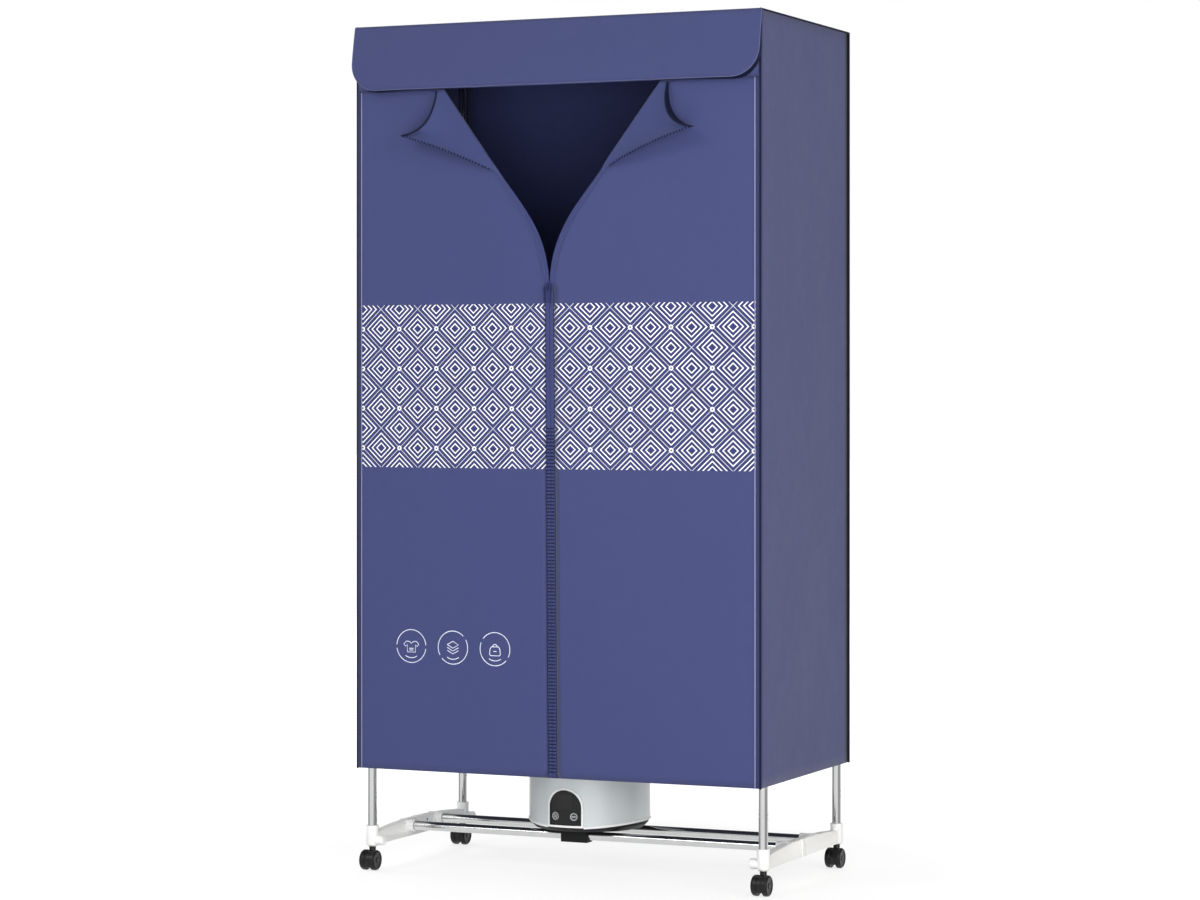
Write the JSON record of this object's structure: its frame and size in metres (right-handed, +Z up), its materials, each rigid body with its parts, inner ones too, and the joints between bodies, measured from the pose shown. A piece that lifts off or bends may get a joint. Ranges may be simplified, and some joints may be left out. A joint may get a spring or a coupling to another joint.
{
  "type": "fabric drying cabinet",
  "caption": "Wheeled tube frame with a zipped fabric cover and a round heater pod in its base, for drying clothes on hangers.",
  "frame": {"origin": "bottom centre of the whole part's box, on the floor under the castors", "axes": "+Z up, front with the zip towards -Y, +X to the right seen from the front"},
  "size_m": [0.7778, 0.4799, 1.5],
  "materials": {
    "cover_cloth": "matte woven polyester, indigo blue",
    "zip_nylon": "satin",
    "white_plastic": "satin moulded plastic",
    "bright_tube": "polished",
    "black_plastic": "satin moulded plastic",
    "wheel_black": "satin nylon",
    "silver_shell": "pearl silver-grey",
    "window_black": "gloss",
    "key_grey": "satin with a light printed ring",
    "board_green": "circuit board",
    "bare_steel": "plain",
    "heater_fins": "plain",
    "slider_metal": "satin"
  },
  "bodies": {
    "cabinet": {"base_bracket_front_left": "white_plastic", "upright_front_left": "bright_tube", "top_bracket_front_left": "white_plastic", "base_bracket_front_right": "white_plastic", "upright_front_right": "bright_tube", "top_bracket_front_right": "white_plastic", "base_bracket_rear_left": "white_plastic", "upright_rear_left": "bright_tube", "top_bracket_rear_left": "white_plastic", "base_bracket_rear_right": "white_plastic", "upright_rear_right": "bright_tube", "top_bracket_rear_right": "white_plastic", "front_base_rod": "bright_tube", "rear_base_rod": "bright_tube", "hanging_rod_front": "bright_tube", "hanging_rod_rear": "bright_tube", "top_rail_front": "bright_tube", "top_rail_rear": "bright_tube", "cover_roof": "cover_cloth", "cover_back": "cover_cloth", "cover_left_side": "cover_cloth", "cover_right_side": "cover_cloth", "cover_header": "cover_cloth", "cover_floor": "cover_cloth", "pod_shell": "silver_shell", "pod_base": "black_plastic", "outlet_grille": "black_plastic", "control_bezel": "white_plastic", "control_window": "window_black", "control_board": "board_green", "fan_motor": "bare_steel", "heater": "heater_fins", "rod_clip": "black_plastic", "cable_gland": "black_plastic"},
    "front_left_door": {"front_left_panel": "cover_cloth", "zip_chain_left": "zip_nylon"},
    "front_right_door": {"front_right_panel": "cover_cloth", "zip_chain_right": "zip_nylon"},
    "valance": {"valance": "cover_cloth"},
    "zip_slider": {"zip_slider": "slider_metal"},
    "zip_pull": {"zip_pull": "slider_metal"},
    "key_mode": {"key_mode": "key_grey"},
    "key_power": {"key_power": "key_grey"},
    "fan_impeller": {"fan_impeller": "black_plastic"},
    "castor_front_left": {"castor_hood_front_left": "black_plastic", "castor_axle_front_left": "bare_steel"},
    "castor_wheel_inner_front_left": {"castor_wheel_inner_front_left": "wheel_black"},
    "castor_wheel_outer_front_left": {"castor_wheel_outer_front_left": "wheel_black"},
    "castor_front_right": {"castor_hood_front_right": "black_plastic", "castor_axle_front_right": "bare_steel"},
    "castor_wheel_inner_front_right": {"castor_wheel_inner_front_right": "wheel_black"},
    "castor_wheel_outer_front_right": {"castor_wheel_outer_front_right": "wheel_black"},
    "castor_rear_left": {"castor_hood_rear_left": "black_plastic", "castor_axle_rear_left": "bare_steel"},
    "castor_wheel_inner_rear_left": {"castor_wheel_inner_rear_left": "wheel_black"},
    "castor_wheel_outer_rear_left": {"castor_wheel_outer_rear_left": "wheel_black"},
    "castor_rear_right": {"castor_hood_rear_right": "black_plastic", "castor_axle_rear_right": "bare_steel"},
    "castor_wheel_inner_rear_right": {"castor_wheel_inner_rear_right": "wheel_black"},
    "castor_wheel_outer_rear_right": {"castor_wheel_outer_rear_right": "wheel_black"}
  },
  "joints": [
    {"name": "front_left_door_swing", "type": "hinge", "parent": "cabinet", "child": "front_left_door", "pos_m": [-0.384, -0.2, 0.785], "axis": [0, 0, -1], "range_deg": [0, 180]},
    {"name": "front_right_door_swing", "type": "hinge", "parent": "cabinet", "child": "front_right_door", "pos_m": [0.384, -0.2, 0.785], "axis": [0, 0, 1], "range_deg": [0, 180]},
    {"name": "valance_lift", "type": "hinge", "parent": "cabinet", "child": "valance", "pos_m": [0, -0.2018, 1.5003], "axis": [-1, 0, 0], "range_deg": [0, 250]},
    {"name": "zip_slide", "type": "slide", "parent": "front_right_door", "child": "zip_slider", "axis": [0, 0.0165, -0.9999], "range_m": [0, 0.836]},
    {"name": "zip_pull_swing", "type": "hinge", "parent": "zip_slider", "child": "zip_pull", "pos_m": [0, -0.22259, 1.0367], "axis": [-1, 0, 0], "range_deg": [0, 150]},
    {"name": "key_mode_press", "type": "slide", "parent": "cabinet", "child": "key_mode", "axis": [0.1613, 0.9869, 0], "range_m": [0, 0.0008], "stiffness_N_per_m": 400},
    {"name": "key_power_press", "type": "slide", "parent": "cabinet", "child": "key_power", "axis": [-0.1613, 0.9869, 0], "range_m": [0, 0.0008], "stiffness_N_per_m": 400},
    {"name": "fan_spin", "type": "hinge", "parent": "cabinet", "child": "fan_impeller", "pos_m": [-0.03, 0.02, 0.136], "axis": [0, 0, 1], "continuous": true},
    {"name": "castor_swivel_front_left", "type": "hinge", "parent": "cabinet", "child": "castor_front_left", "pos_m": [-0.374, -0.161, 0.05], "axis": [0, 0, 1], "continuous": true},
    {"name": "wheel_spin_inner_front_left", "type": "hinge", "parent": "castor_front_left", "child": "castor_wheel_inner_front_left", "pos_m": [-0.374, -0.169, 0.018], "axis": [1, 0, 0], "continuous": true},
    {"name": "wheel_spin_outer_front_left", "type": "hinge", "parent": "castor_front_left", "child": "castor_wheel_outer_front_left", "pos_m": [-0.374, -0.169, 0.018], "axis": [1, 0, 0], "continuous": true},
    {"name": "castor_swivel_front_right", "type": "hinge", "parent": "cabinet", "child": "castor_front_right", "pos_m": [0.374, -0.161, 0.05], "axis": [0, 0, 1], "continuous": true},
    {"name": "wheel_spin_inner_front_right", "type": "hinge", "parent": "castor_front_right", "child": "castor_wheel_inner_front_right", "pos_m": [0.374, -0.169, 0.018], "axis": [1, 0, 0], "continuous": true},
    {"name": "wheel_spin_outer_front_right", "type": "hinge", "parent": "castor_front_right", "child": "castor_wheel_outer_front_right", "pos_m": [0.374, -0.169, 0.018], "axis": [1, 0, 0], "continuous": true},
    {"name": "castor_swivel_rear_left", "type": "hinge", "parent": "cabinet", "child": "castor_rear_left", "pos_m": [-0.374, 0.201, 0.05], "axis": [0, 0, 1], "continuous": true},
    {"name": "wheel_spin_inner_rear_left", "type": "hinge", "parent": "castor_rear_left", "child": "castor_wheel_inner_rear_left", "pos_m": [-0.374, 0.193, 0.018], "axis": [1, 0, 0], "continuous": true},
    {"name": "wheel_spin_outer_rear_left", "type": "hinge", "parent": "castor_rear_left", "child": "castor_wheel_outer_rear_left", "pos_m": [-0.374, 0.193, 0.018], "axis": [1, 0, 0], "continuous": true},
    {"name": "castor_swivel_rear_right", "type": "hinge", "parent": "cabinet", "child": "castor_rear_right", "pos_m": [0.374, 0.201, 0.05], "axis": [0, 0, 1], "continuous": true},
    {"name": "wheel_spin_inner_rear_right", "type": "hinge", "parent": "castor_rear_right", "child": "castor_wheel_inner_rear_right", "pos_m": [0.374, 0.193, 0.018], "axis": [1, 0, 0], "continuous": true},
    {"name": "wheel_spin_outer_rear_right", "type": "hinge", "parent": "castor_rear_right", "child": "castor_wheel_outer_rear_right", "pos_m": [0.374, 0.193, 0.018], "axis": [1, 0, 0], "continuous": true}
  ]
}
